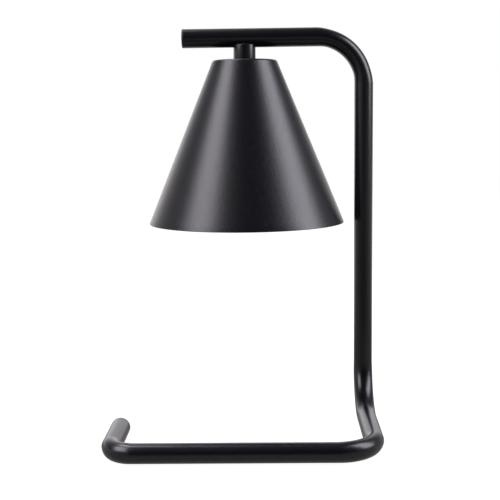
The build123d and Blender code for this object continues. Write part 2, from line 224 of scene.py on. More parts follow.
def bevelEdges(piece, width, sharpAngle):  # eases edges sharper than the angle, in mm unless clamped
    bevel = piece.modifiers.new("edge", "BEVEL")
    bevel.width = width * mm
    bevel.segments = 3
    bevel.limit_method = "ANGLE"
    bevel.angle_limit = math.radians(sharpAngle)
    applyModifiers(piece)
    smoothMesh(piece.data, sharpAngle=38)


def startTree(name, inputs):  # a Geometry Nodes tree with named inputs
    tree = bpy.data.node_groups.new(name, "GeometryNodeTree")
    tree.interface.new_socket("Geometry", in_out="INPUT", socket_type="NodeSocketGeometry")
    for inputName, kind in inputs.items():
        tree.interface.new_socket(inputName, in_out="INPUT", socket_type="NodeSocket" + kind)
    tree.interface.new_socket("Material", in_out="INPUT", socket_type="NodeSocketMaterial")
    tree.interface.new_socket("Geometry", in_out="OUTPUT", socket_type="NodeSocketGeometry")
    return tree, addNode(tree, "NodeGroupInput").outputs


def endTree(tree, given, *parts):  # joins the parts, makes instances real and sets the material
    joined = addNode(tree, "GeometryNodeJoinGeometry")
    for part in parts:
        tree.links.new(part, joined.inputs[0])
    real = addNode(tree, "GeometryNodeRealizeInstances", {"Geometry": joined})
    painted = addNode(tree, "GeometryNodeSetMaterial", {"Geometry": real, "Material": given["Material"]})
    addNode(tree, "NodeGroupOutput", {"Geometry": painted})


def growPiece(name, mesh, tree, values, material):  # runs a tree on a mesh and keeps the plain result
    piece = addPiece(name, mesh, material)
    modifier = piece.modifiers.new("build", "NODES")
    modifier.node_group = tree
    values = dict(values, Material=material)
    for item in tree.interface.items_tree:
        if item.in_out == "INPUT" and item.name in values:
            modifier[item.identifier] = values[item.name]
    applyModifiers(piece)
    smoothMesh(piece.data)
    return piece


# Satin black powder coat: baked polyester powder over metal, dark with a soft sheen and a faint
# orange peel, waves about 2 mm long. On the shade the powder's grain shows too. It is about
# 0.1 mm in life and is drawn wider and deeper, or the render would lose it. Sizes are in mm, and
# a pattern's scale is 1000 over its length, because Object coordinates are metres.
coatLook = {"dark": "#040307", "light": "#08060d", "spread": 0.02, "waveLength": 2.2}
tubeLook = {"roughness": 0.3, "waveDepth": 0.002, "grainLength": 0.9, "grainDepth": 0.001}
shadeLook = {"roughness": 0.35, "waveDepth": 0.01, "grainLength": 1.6, "grainDepth": 0.08}


def makeCoat(name, look):
    roughness, waveDepth = look["roughness"], look["waveDepth"]
    material, tree, shader, place = newMaterial(name, coatLook["dark"], IOR=1.5, Roughness=roughness)
    wave = addNode(tree, "ShaderNodeTexNoise", {
        "Vector": place, "Scale": 1000 / coatLook["waveLength"], "Detail": 1.0, "Roughness": 0.4})
    grain = addNode(tree, "ShaderNodeTexNoise", {
        "Vector": place, "Scale": 1000 / look["grainLength"], "Detail": 2.0, "Roughness": 0.6})
    addTint(tree, shader, grain, coatLook["dark"], coatLook["light"])
    addRoughness(tree, shader, wave,
                 roughness - coatLook["spread"], roughness + coatLook["spread"])
    fine = addNode(tree, "ShaderNodeMath", {0: grain, 1: look["grainDepth"] / waveDepth},
                   operation="MULTIPLY")
    both = addNode(tree, "ShaderNodeMath", {0: wave, 1: fine}, operation="ADD")
    addRelief(tree, shader, both, waveDepth)
    return material


tubeCoat = makeCoat("satinPowderCoatTube", tubeLook)
shadeCoat = makeCoat("satinPowderCoatShade", shadeLook)
collarCoat = makeCoat("satinPowderCoatCollar", tubeLook)

# Injection-moulded nylon in black: slightly greyer and duller than the coat, spark-eroded grain.
nylonLook = {"dark": "#121213", "light": "#19191a", "grainLength": 0.5, "grainDepth": 0.012}
blackNylon, tree, shader, place = newMaterial(
    "mouldedBlackNylon", nylonLook["dark"], IOR=1.53, Roughness=0.45)
grain = addNode(tree, "ShaderNodeTexNoise", {
    "Vector": place, "Scale": 1000 / nylonLook["grainLength"], "Detail": 3.0, "Roughness": 0.6})
addTint(tree, shader, grain, nylonLook["dark"], nylonLook["light"])
addRoughness(tree, shader, grain, low=0.4, high=0.52)
addRelief(tree, shader, grain, nylonLook["grainDepth"])


# Plated and bare metals: fine marks run round the piece and spread the shine. They lie six times
# closer along Z than round it. The mark length is in mm.
def makeMetal(name, dark, light, roughness, markLength):
    material, tree, shader, place = newMaterial(name, dark, Metallic=1.0, Roughness=roughness)
    mapping = addNode(tree, "ShaderNodeMapping", {"Vector": place, "Scale": (1.0, 1.0, 6.0)})
    marks = addNode(tree, "ShaderNodeTexNoise", {
        "Vector": mapping, "Scale": 1000 / markLength, "Detail": 3.0, "Roughness": 0.65})
    addTint(tree, shader, marks, dark, light)
    addRoughness(tree, shader, marks, low=roughness * 0.8, high=roughness * 1.25)
    addRelief(tree, shader, marks, depth=0.004)
    return material


zincPlate = makeMetal("zincPlatedSteel", "#a3a6a8", "#c3c6c8", 0.3, 1.2)  # bluish white, softly shiny
darkSteel = makeMetal("hotRolledSteel", "#4a494a", "#626061", 0.5, 2.5)  # grey mill scale, dull
contactBrass = makeMetal("springBrass", "#b08f4f", "#cbab68", 0.28, 0.8)  # yellow strip, rolled
pinNickel = makeMetal("nickelPlatedPins", "#b3ada2", "#cbc6bc", 0.22, 0.8)  # warm grey, turned
tungstenWire = makeMetal("drawnTungstenWire", "#5c5c60", "#7b7b80", 0.35, 0.4)  # dark grey wire


# Steatite ceramic: pressed, fired and unglazed, off-white with tiny specks.
def makeCeramic(name, dark, light, speck):
    material, tree, shader, place = newMaterial(name, light, IOR=1.6, Roughness=0.55)
    cloud = addNode(tree, "ShaderNodeTexNoise", {"Vector": place, "Scale": 1000 / 3.0, "Detail": 2.0})
    specks = addNode(tree, "ShaderNodeTexNoise", {"Vector": place, "Scale": 1000 / speck, "Detail": 3.0})
    mixed = addNode(tree, "ShaderNodeMath", {0: cloud, 1: specks}, operation="MINIMUM")
    addTint(tree, shader, mixed, dark, light)
    addRoughness(tree, shader, specks, low=0.48, high=0.62)
    addRelief(tree, shader, specks, depth=0.01)
    return material


holderCeramic = makeCeramic("pressedSteatite", "#d9d3c4", "#e9e5da", 0.5)
lampCeramic = makeCeramic("lampBaseCeramic", "#dcd8cc", "#ebe8df", 0.4)

# Silicone-coated glass sleeve on the short leads: cream, woven, the weave about 0.5 mm.
leadSleeve, tree, shader, place = newMaterial("wovenGlassSleeve", "#d8d4c8", IOR=1.45, Roughness=0.55)
weave = addNode(tree, "ShaderNodeTexVoronoi", {"Vector": place, "Scale": 1000 / 0.5}, feature="F1")
addTint(tree, shader, weave.outputs["Distance"], "#e2ded3", "#bdb8aa")
addRelief(tree, shader, weave.outputs["Distance"], depth=0.05, strength=0.6)

# Natural nylon of the crimp caps: milky, moulded, lets some light through.
milkyNylon, tree, shader, place = newMaterial(
    "naturalNylonCaps", "#dedbcf", IOR=1.53, Roughness=0.35, Transmission_Weight=0.35)
haze = addNode(tree, "ShaderNodeTexNoise", {"Vector": place, "Scale": 1000 / 2.0, "Detail": 2.0})
addTint(tree, shader, haze, "#d5d1c3", "#e6e3d9")
addRelief(tree, shader, haze, depth=0.01)

# Aluminised glass reflector: a mirror with pressed facets, the coat slightly uneven.
mirrorCoat, tree, shader, place = newMaterial("aluminisedGlass", "#dcdfe2", Metallic=1.0, Roughness=0.09)
cloud = addNode(tree, "ShaderNodeTexNoise", {"Vector": place, "Scale": 1000 / 6.0, "Detail": 2.0})
addTint(tree, shader, cloud, "#d2d6da", "#e4e6e8")
addRoughness(tree, shader, cloud, low=0.06, high=0.14)

# Clear lamp glass: pressed and fire-polished, with a faint ripple.
lampGlass, tree, shader, place = newMaterial(
    "clearLampGlass", "#f7faf9", IOR=1.5, Roughness=0.02, Transmission_Weight=1.0)
ripple = addNode(tree, "ShaderNodeTexNoise", {"Vector": place, "Scale": 1000 / 5.0, "Detail": 1.0})
addTint(tree, shader, ripple, "#f2f6f5", "#fafcfb")
addRelief(tree, shader, ripple, depth=0.02)
print("materials made")

# Stand tube: it follows one centre line, from the arm's free end to the rear end of the left base
# arm. In each bend its section goes oval, as bent tube does. Lengths are in mm.
tubeSizes = {
    "radius": 8.0, "wall": 1.0, "sides": 96, "bendStep": 1.6, "runStep": 6.0,
    "nippleHole": 5.2, "cutDepth": 20, "flattening": 0.07, "widening": 0.03, "ramp": 0.2,
    "bendRadii": (40.5, 42.0, 31.0, 19.0),
    "post": (103.63, 28.25), "armHeight": 330.0, "armLength": 152.5,
    "baseHeight": 8.24, "baseWidth": 207.5, "baseDepth": 133.0, "leftArmLength": 68.5,
}


def tubeRoute(sizes):  # the corners of the centre line
    postX, postY = sizes["post"]
    leftX, frontY = postX - sizes["baseWidth"], postY - sizes["baseDepth"]
    armHeight, baseHeight = sizes["armHeight"], sizes["baseHeight"]
    return [Vector(corner) for corner in (
        (postX - sizes["armLength"], postY, armHeight), (postX, postY, armHeight),
        (postX, postY, baseHeight), (postX, frontY, baseHeight), (leftX, frontY, baseHeight),
        (leftX, frontY + sizes["leftArmLength"], baseHeight))]


def ovalShare(share, ramp):  # 0 at a bend's ends, 1 over its middle
    step = min(share, 1 - share, ramp) / ramp
    return step * step * (3 - 2 * step)


def centreLine(sizes, route):  # points along the route, each with its oval share and the bend's axis
    rows = []
    start = route[0]
    for index, radius in enumerate(sizes["bendRadii"]):
        corner, following = route[index + 1], route[index + 2]
        incoming = (corner - route[index]).normalized()
        outgoing = (following - corner).normalized()
        axis = incoming.cross(outgoing).normalized()
        turn = incoming.angle(outgoing)
        bendStart = corner - incoming * radius * math.tan(turn / 2)
        runSteps = max(2, round((bendStart - start).length / sizes["runStep"]))
        rows += [(start.lerp(bendStart, step / runSteps), 0.0, axis) for step in range(runSteps)]
        inward = axis.cross(incoming)
        centre = bendStart + inward * radius
        bendSteps = round(radius * turn / sizes["bendStep"])
        for step in range(bendSteps):
            share = step / bendSteps
            spoke = Matrix.Rotation(turn * share, 3, axis) @ (inward * -radius)
            rows.append((centre + spoke, ovalShare(share, sizes["ramp"]), axis))
        start = corner + outgoing * radius * math.tan(turn / 2)
    runSteps = max(2, round((route[-1] - start).length / sizes["runStep"]))
    rows += [(start.lerp(route[-1], step / runSteps), 0.0, axis) for step in range(runSteps + 1)]
    return rows


route = tubeRoute(tubeSizes)
rows = centreLine(tubeSizes, route)
lineMesh = bpy.data.meshes.new("tubeCentreLine")
lineMesh.from_pydata([row[0] * mm for row in rows], [(i, i + 1) for i in range(len(rows) - 1)], [])
for attributeName, kind, values in (
        ("lineCentre", "FLOAT_VECTOR", [c for row in rows for c in row[0] * mm]),
        ("bendAxis", "FLOAT_VECTOR", [c for row in rows for c in row[2]]),
        ("ovalShare", "FLOAT", [row[1] for row in rows])):
    attribute = lineMesh.attributes.new(attributeName, kind, "POINT")
    attribute.data.foreach_set("vector" if kind == "FLOAT_VECTOR" else "value", values)

tree, given = startTree("ovalTube", {
    "Tube Radius": "Float", "Sides": "Int", "Flattening": "Float", "Widening": "Float"})
line = addNode(tree, "GeometryNodeMeshToCurve", {"Mesh": given["Geometry"]})
ringCurve = addNode(tree, "GeometryNodeCurvePrimitiveCircle",
                    {"Resolution": given["Sides"], "Radius": given["Tube Radius"]})
swept = addNode(tree, "GeometryNodeCurveToMesh", {"Curve": line, "Profile Curve": ringCurve})
centre = addNode(tree, "GeometryNodeInputNamedAttribute", {"Name": "lineCentre"}, data_type="FLOAT_VECTOR")
axisNode = addNode(tree, "GeometryNodeInputNamedAttribute", {"Name": "bendAxis"}, data_type="FLOAT_VECTOR")
shareNode = addNode(tree, "GeometryNodeInputNamedAttribute", {"Name": "ovalShare"}, data_type="FLOAT")
position = addNode(tree, "GeometryNodeInputPosition")
spoke = addNode(tree, "ShaderNodeVectorMath", {0: position, 1: centre}, operation="SUBTRACT")
across = addNode(tree, "ShaderNodeVectorMath", {0: spoke, 1: axisNode}, operation="PROJECT")
along = addNode(tree, "ShaderNodeVectorMath", {0: spoke, 1: across}, operation="SUBTRACT")
wide = addNode(tree, "ShaderNodeMath", {0: shareNode, 1: given["Widening"], 2: 1.0},
               operation="MULTIPLY_ADD")
shrink = addNode(tree, "ShaderNodeMath", {0: shareNode, 1: given["Flattening"]}, operation="MULTIPLY")
flat = addNode(tree, "ShaderNodeMath", {0: 1.0, 1: shrink}, operation="SUBTRACT")
acrossNew = addNode(tree, "ShaderNodeVectorMath", {0: across, "Scale": wide}, operation="SCALE")
alongNew = addNode(tree, "ShaderNodeVectorMath", {0: along, "Scale": flat}, operation="SCALE")
spokeNew = addNode(tree, "ShaderNodeVectorMath", {0: acrossNew, 1: alongNew}, operation="ADD")
placeNew = addNode(tree, "ShaderNodeVectorMath", {0: centre, 1: spokeNew}, operation="ADD")
oval = addNode(tree, "GeometryNodeSetPosition", {"Geometry": swept, "Position": placeNew})
endTree(tree, given, oval.outputs[0])

standTube = growPiece("standTube", lineMesh, tree, {
    "Tube Radius": tubeSizes["radius"] * mm, "Sides": tubeSizes["sides"],
    "Flattening": tubeSizes["flattening"], "Widening": tubeSizes["widening"]}, tubeCoat)
for attributeName in ("lineCentre", "bendAxis", "ovalShare"):
    standTube.data.attributes.remove(standTube.data.attributes[attributeName])
shape = bmesh.new()
shape.from_mesh(standTube.data)
bmesh.ops.remove_doubles(shape, verts=shape.verts, dist=1e-6)
bmesh.ops.recalc_face_normals(shape, faces=shape.faces)
probe = max(shape.faces, key=lambda face: face.calc_center_median().z)
if probe.normal.z < 0:  # an open tube has no inside, so its highest face tells which way is out
    bmesh.ops.reverse_faces(shape, faces=shape.faces)
shape.to_mesh(standTube.data)
shape.free()
wall = standTube.modifiers.new("wall", "SOLIDIFY")
wall.thickness = tubeSizes["wall"] * mm
wall.offset = -1.0
wall.use_rim = True
applyModifiers(standTube)
shadeLow, shadeHigh = nodeBox("shade")
shadeAxis = (shadeLow + shadeHigh) / 2
axisPlace = Matrix.Translation((shadeAxis.x, shadeAxis.y, 0))
armHeight = tubeSizes["armHeight"]
cutAway(standTube, turnRing("nippleCut", axisPlace, tubeSizes["nippleHole"],
                            armHeight - tubeSizes["cutDepth"], armHeight, sides=64))
smoothMesh(standTube.data, sharpAngle=50)
finishPiece(standTube, "stand", "frame_coat", "frame_tube")

# Tube ends: a closed cap on the arm and, on the base, a plug with the cord's hole. Each is a flange
# on a hollow spigot inside the tube. Edges are the rounding radii, from the outer face inwards.
spigotSizes = {"outer": 6.95, "wall": 1.6, "length": 9.0, "flangeEdge": 0.15, "tipEdges": (0.7, 0.3),
               "rootEdge": 0.4}
capSizes = {"bore": 0, "boreEdges": (0, 0), "flange": 2.0, "edge": 1.2}
plugSizes = {"bore": 2.8, "boreEdges": (0.4, 0.2), "flange": 1.5, "edge": 0.5}


def endPiece(name, sizes, place):
    outer, length = spigotSizes["outer"], spigotSizes["length"]
    inner = outer - spigotSizes["wall"]
    outline = roundOutline([
        (sizes["bore"], sizes["flange"], sizes["boreEdges"][0]),
        (tubeSizes["radius"], sizes["flange"], sizes["edge"]),
        (tubeSizes["radius"], 0, spigotSizes["flangeEdge"]),
        (outer, 0, 0),
        (outer, -length, spigotSizes["tipEdges"][0]),
        (inner, -length, spigotSizes["tipEdges"][1]),
        (inner, 0, spigotSizes["rootEdge"]),
        (sizes["bore"], 0, sizes["boreEdges"][1]),
    ], steps=8)
    return addPiece(name, turnMesh(name, outline, place), blackNylon)


armEndCap = endPiece("armEndCap", capSizes,
                     Matrix.Translation(route[0]) @ Matrix.Rotation(math.radians(-90), 4, "Y"))
finishPiece(armEndCap, "stand", "black_plastic", "arm_end_cap")
baseEndPlug = endPiece("baseEndPlug", plugSizes,
                       Matrix.Translation(route[-1]) @ Matrix.Rotation(math.radians(-90), 4, "X"))
finishPiece(baseEndPlug, "stand", "black_plastic", "base_end_plug")

# Neck collar: turned, with a chamfer and a saddle groove that takes the tube's round. The saddle's
# bevel doesn't reach the width in edge: short edges at the groove clamp it to about 0.001 mm.
collarSizes = {"radius": 9.5, "bore": 5.2, "top": 325.3, "foot": 0.3, "chamfer": 1.2, "edge": 0.35,
               "grooveRadius": 8.03, "grooveLength": 40}
collarOutline = roundOutline([
    (collarSizes["bore"], shadeHigh.z, 0),
    (collarSizes["radius"], shadeHigh.z, collarSizes["foot"]),
    (collarSizes["radius"], collarSizes["top"] - collarSizes["chamfer"], 0),
    (collarSizes["radius"] - collarSizes["chamfer"], collarSizes["top"], 0),
    (collarSizes["bore"], collarSizes["top"], 0),
], steps=5)
neckCollar = addPiece("neckCollar", turnMesh("neckCollar", collarOutline, axisPlace), collarCoat)
grooveLength = collarSizes["grooveLength"]
groovePlace = (Matrix.Translation((shadeAxis.x - grooveLength / 2, shadeAxis.y, armHeight))
               @ Matrix.Rotation(math.radians(90), 4, "Y"))
cutAway(neckCollar, turnRing("groove", groovePlace, collarSizes["grooveRadius"], 0, grooveLength,
                             sides=160))
bevelEdges(neckCollar, collarSizes["edge"], sharpAngle=32)
finishPiece(neckCollar, "stand", "collar_coat", "neck_collar")

# Shade: a spun aluminium cone with one wall, a small shoulder round the flat top and an eased rim.
shadeSizes = {"wall": 0.8, "shoulder": 2.6, "rimEdge": 0.32, "topRadius": 27.3, "hole": 5.2,
              "longestRow": 6.25, "sides": 256}
rimRadius = (shadeHigh.x - shadeLow.x) / 2
shadeSlope = (rimRadius - shadeSizes["topRadius"]) / (shadeHigh.z - shadeLow.z)
sideInset = shadeSizes["wall"] * math.sqrt(1 + shadeSlope ** 2)
innerTop = shadeHigh.z - shadeSizes["wall"]
innerTopRadius = shadeSizes["topRadius"] + shadeSlope * shadeSizes["wall"] - sideInset
shadeOutline = roundOutline([
    (shadeSizes["hole"], shadeHigh.z, 0),
    (shadeSizes["topRadius"], shadeHigh.z, shadeSizes["shoulder"]),
    (rimRadius, shadeLow.z, shadeSizes["rimEdge"]),
    (rimRadius - sideInset, shadeLow.z, shadeSizes["rimEdge"]),
    (innerTopRadius, innerTop, shadeSizes["shoulder"] - shadeSizes["wall"]),
    (shadeSizes["hole"], innerTop, 0),
], steps=10)


def splitLongRows(outline, longest):  # more rows on long straight stretches, for even shading
    split = []
    for index, (x, y) in enumerate(outline):
        split.append((x, y))
        nextX, nextY = outline[(index + 1) % len(outline)]
        parts = int(math.hypot(nextX - x, nextY - y) // longest)
        for part in range(1, parts):
            split.append((x + (nextX - x) * part / parts, y + (nextY - y) * part / parts))
    return split


shadeOutline = splitLongRows(shadeOutline, shadeSizes["longestRow"])
shadeMesh = turnMesh("coneShade", shadeOutline, axisPlace, shadeSizes["sides"])
coneShade = addPiece("coneShade", shadeMesh, shadeCoat)
finishPiece(coneShade, "stand", "shade_coat", "shade")

# A ridge wound round a core: the threads of the nipple and the screws, and the lamp's coil.
tree, given = startTree("threadRidge", {
    "Turns": "Float", "Pitch": "Float", "Ridge Radius": "Float", "Ridge Size": "Float",
    "Start Height": "Float", "Centre": "Vector", "Steps": "Int", "Ridge Sides": "Int"})
rise = addNode(tree, "ShaderNodeMath", {0: given["Turns"], 1: given["Pitch"]}, operation="MULTIPLY")
spiral = addNode(tree, "GeometryNodeCurveSpiral", {
    "Resolution": given["Steps"], "Rotations": given["Turns"], "Start Radius": given["Ridge Radius"],
    "End Radius": given["Ridge Radius"], "Height": rise})
ridge = addNode(tree, "GeometryNodeCurvePrimitiveCircle",
                {"Resolution": given["Ridge Sides"], "Radius": given["Ridge Size"]})
swept = addNode(tree, "GeometryNodeCurveToMesh", {
    "Curve": spiral, "Profile Curve": ridge, "Fill Caps": True})
lift = addNode(tree, "ShaderNodeCombineXYZ", {"Z": given["Start Height"]})
offset = addNode(tree, "ShaderNodeVectorMath", {0: given["Centre"], 1: lift}, operation="ADD")
moved = addNode(tree, "GeometryNodeTransform", {"Geometry": swept, "Translation": offset})
endTree(tree, given, given["Geometry"], moved.outputs[0])
threadTree = tree


def windRidge(name, core, material, centre, low, length, sizes):  # sizes in mm, steps are to a turn
    ridge = sizes["ridge"]
    return growPiece(name, core, threadTree, {
        "Turns": (length - 2 * ridge) / sizes["pitch"], "Pitch": sizes["pitch"] * mm,
        "Ridge Radius": (sizes["radius"] - ridge) * mm, "Ridge Size": ridge * mm,
        "Start Height": (low + ridge) * mm, "Centre": tuple(c * mm for c in centre),
        "Steps": sizes["steps"], "Ridge Sides": sizes["ridgeSides"]}, material)


# Threaded nipple, flat washer, toothed lock washer and nut, from the arm down to the bracket.
nippleLow, nippleHigh = nodeBox("threaded_nipple")
nippleSizes = {"radius": 5.0, "core": 4.45, "bore": 4.0, "edges": (0.1, 0.1, 0.1),
               "pitch": 1.0, "ridge": 0.38, "steps": 40, "ridgeSides": 4}
nippleCore = turnRing("threadedNipple", axisPlace, nippleSizes["core"], nippleLow.z, nippleHigh.z,
                      nippleSizes["bore"], nippleSizes["edges"], sides=64, steps=2)
threadedNipple = windRidge("threadedNipple", nippleCore, zincPlate, (shadeAxis.x, shadeAxis.y, 0),
                           nippleLow.z, nippleHigh.z - nippleLow.z, nippleSizes)
finishPiece(threadedNipple, "stand", "zinc_steel", "threaded_nipple")

washerLow, washerHigh = nodeBox("flat_washer")
washerSizes = {"radius": 12.0, "bore": 5.2, "edges": (0.1, 0.25, 0.25)}
washerMesh = turnRing("flatWasher", axisPlace, washerSizes["radius"], washerLow.z, washerHigh.z,
                      washerSizes["bore"], washerSizes["edges"])
flatWasher = addPiece("flatWasher", washerMesh, zincPlate)
finishPiece(flatWasher, "stand", "zinc_steel", "flat_washer")

# Each tooth of the lock washer is a small twisted leaf on the ring.
toothLow, toothHigh = nodeBox("lock_washer")
toothSizes = {"ringRadius": 7.5, "bore": 5.2, "thickness": 0.45, "edges": (0.08, 0.08, 0.08),
              "teeth": 12, "length": 2.4, "width": 2.3, "middleRadius": 7.7, "twist": 7}
ringMiddle = (toothLow.z + toothHigh.z) / 2
ringHalf = toothSizes["thickness"] / 2
lockRing = turnRing("lockWasher", axisPlace, toothSizes["ringRadius"], ringMiddle - ringHalf,
                    ringMiddle + ringHalf, toothSizes["bore"], toothSizes["edges"], sides=72, steps=2)
tree, given = startTree("toothRing", {
    "Teeth": "Int", "Tooth Size": "Vector", "Ring Radius": "Float", "Twist": "Float", "Centre": "Vector"})
toothCircle = addNode(tree, "GeometryNodeMeshCircle",
                      {"Vertices": given["Teeth"], "Radius": given["Ring Radius"]})
tooth = addNode(tree, "GeometryNodeMeshCube",
                {"Size": given["Tooth Size"], "Vertices X": 3, "Vertices Y": 3})
outward = addNode(tree, "GeometryNodeInputPosition")  # the ring is centred, so a place points outwards
facing = addNode(tree, "FunctionNodeAlignEulerToVector", {"Vector": outward}, axis="X")
placed = addNode(tree, "GeometryNodeInstanceOnPoints",
                 {"Points": toothCircle, "Instance": tooth, "Rotation": facing})
tilt = addNode(tree, "ShaderNodeCombineXYZ", {"X": given["Twist"]})
twisted = addNode(tree, "GeometryNodeRotateInstances", {
    "Instances": placed, "Rotation": tilt, "Local Space": True})
moved = addNode(tree, "GeometryNodeTransform", {"Geometry": twisted, "Translation": given["Centre"]})
endTree(tree, given, given["Geometry"], moved.outputs[0])
lockWasher = growPiece("lockWasher", lockRing, tree, {
    "Teeth": toothSizes["teeth"],
    "Tooth Size": (toothSizes["length"] * mm, toothSizes["width"] * mm, toothSizes["thickness"] * mm),
    "Ring Radius": toothSizes["middleRadius"] * mm, "Twist": math.radians(toothSizes["twist"]),
    "Centre": (shadeAxis.x * mm, shadeAxis.y * mm, ringMiddle * mm)}, zincPlate)
finishPiece(lockWasher, "stand", "zinc_steel", "lock_washer")

nutLow, nutHigh = nodeBox("shade_nut")
nutSizes = {"acrossFlats": 14.0, "bore": 5.02, "flatSteps": 12, "faceShare": 0.97, "cornerSlope": 0.58,
            "sharpAngle": 25}


def hexNut(name, sizes, low, high, place):  # six flats, the corners turned off at about 30 degrees
    shape = bmesh.new()
    apothem = sizes["acrossFlats"] / 2
    faceRadius = apothem * sizes["faceShare"]
    sides = 6 * sizes["flatSteps"]
    angles = [2 * math.pi * side / sides for side in range(sides)]
    rings = []
    for level, inward in ((low, 0), (low, 1), (high, -1), (high, 0)):  # face, flat's two ends, face
        points = []
        for angle in angles:
            fromFlat = math.remainder(angle - math.radians(30), math.radians(60))
            flatRadius = apothem / math.cos(fromFlat)
            drop = (flatRadius - faceRadius) * sizes["cornerSlope"]
            radius = flatRadius if inward else faceRadius
            points.append((radius * math.cos(angle), radius * math.sin(angle), level + inward * drop))
        rings.append([shape.verts.new(point) for point in points])
    bore = sizes["bore"]
    for level in (high, low):
        rings.append([shape.verts.new((bore * math.cos(a), bore * math.sin(a), level)) for a in angles])
    for index, ring in enumerate(rings):
        above = rings[(index + 1) % len(rings)]
        for side in range(sides):
            following = (side + 1) % sides
            shape.faces.new((ring[side], ring[following], above[following], above[side]))
    return closeMesh(name, shape, place, sizes["sharpAngle"])


shadeNut = addPiece("shadeNut", hexNut("shadeNut", nutSizes, nutLow.z, nutHigh.z, axisPlace), zincPlate)
finishPiece(shadeNut, "stand", "zinc_steel", "shade_nut")

# Holder bracket: a strip with round ends, a hole for the nipple and two for the screws.
bracketLow, bracketHigh = nodeBox("holder_bracket")
bracketSizes = {"width": 14.0, "bore": 5.05, "screwOffset": 10.183, "screwHole": 1.55, "edge": 0.18,
                "endSteps": 32, "cutReach": 4}
shape = bmesh.new()
halfLength = (bracketHigh.y - bracketLow.y) / 2
endRadius = bracketSizes["width"] / 2
outlinePoints = []
for end in (1, -1):
    for step in range(bracketSizes["endSteps"] + 1):
        angle = math.radians(180 * step / bracketSizes["endSteps"]) + (0 if end > 0 else math.pi)
        outlinePoints.append((endRadius * math.cos(angle),
                              end * (halfLength - endRadius) + endRadius * math.sin(angle)))
bottomRing = [shape.verts.new((x, y, bracketLow.z)) for x, y in outlinePoints]
bottomFace = shape.faces.new(bottomRing)
pulled = bmesh.ops.extrude_face_region(shape, geom=[bottomFace])
bmesh.ops.translate(shape, verts=[v for v in pulled["geom"] if isinstance(v, bmesh.types.BMVert)],
                    vec=(0, 0, bracketHigh.z - bracketLow.z))
holderBracket = addPiece("holderBracket", closeMesh("holderBracket", shape, axisPlace), zincPlate)
for side in (0, 1, -1):
    holeY = shadeAxis.y + side * bracketSizes["screwOffset"]
    cutAway(holderBracket, turnRing(
        "hole", Matrix.Translation((shadeAxis.x, holeY, bracketLow.z)),
        bracketSizes["screwHole" if side else "bore"], -bracketSizes["cutReach"],
        bracketSizes["cutReach"], sides=48))
bevelEdges(holderBracket, bracketSizes["edge"], sharpAngle=50)
finishPiece(holderBracket, "stand", "zinc_steel", "holder_bracket")

screwLow, screwHigh = nodeBox("holder_screws")
# Holder screws: the slot is a block (length, width, height) centred on the head's face.
screwSizes = {"headRadius": 2.75, "headHeight": 2.6, "headEdge": 0.5, "seatEdge": 0.12, "core": 1.25,
              "tipEdge": 0.3, "plainTip": 0.2, "radius": 1.5, "pitch": 0.5, "ridge": 0.19, "steps": 40,
              "ridgeSides": 4, "slot": (8, 0.8, 2.0), "slotTurn": 35}
headTop = screwLow.z + screwSizes["headHeight"]
screws = []
for side in (-1, 1):
    spot = (shadeAxis.x, shadeAxis.y + side * bracketSizes["screwOffset"], 0)
    place = Matrix.Translation(spot)
    screwCore = turnMesh("screwCore", roundOutline([
        (0, screwLow.z, 0), (screwSizes["headRadius"], screwLow.z, screwSizes["headEdge"]),
        (screwSizes["headRadius"], headTop, screwSizes["seatEdge"]), (screwSizes["core"], headTop, 0),
        (screwSizes["core"], screwHigh.z, screwSizes["tipEdge"]), (0, screwHigh.z, 0)], steps=5),
        place, sides=48)
    screw = windRidge("holderScrew", screwCore, zincPlate, spot, headTop,
                      screwHigh.z - screwSizes["plainTip"] - headTop, screwSizes)
    slotPlace = (place @ Matrix.Translation((0, 0, screwLow.z))
                 @ Matrix.Rotation(math.radians(screwSizes["slotTurn"] * side), 4, "Z"))
    cutAway(screw, boxMesh("slotCut", slotPlace, screwSizes["slot"]))
    screws.append(screw)
with bpy.context.temp_override(active_object=screws[0], selected_editable_objects=screws):
    bpy.ops.object.join()
holderScrews = screws[0]
holderScrews.name = "holderScrews"
smoothMesh(holderScrews.data)
finishPiece(holderScrews, "stand", "zinc_steel", "holder_screws")

# Pressed reflector: smooth outside, rings of small flat facets inside.
bowlLow, bowlHigh = nodeBox("lamp_reflector")
bowlSizes = {"rimRadius": 25.0, "neckRadius": 10.0, "wall": 1.5, "rimHeight": 2.5, "rimEdge": 0.3,
             "neckTop": 4.1, "rings": 9, "sides": 48}
bowlTop = bowlHigh.z - bowlSizes["neckTop"]
bowlBottom = bowlLow.z + bowlSizes["rimHeight"]


def bowlCurve(inset):  # close to a parabola, from neck to rim
    rows = []
    for step in range(bowlSizes["rings"] + 1):
        share = step / bowlSizes["rings"]
        radius = math.sqrt(bowlSizes["neckRadius"] ** 2
                           + share * (bowlSizes["rimRadius"] ** 2 - bowlSizes["neckRadius"] ** 2))
        rows.append((radius - inset, bowlTop - share * (bowlTop - bowlBottom)))
    return rows


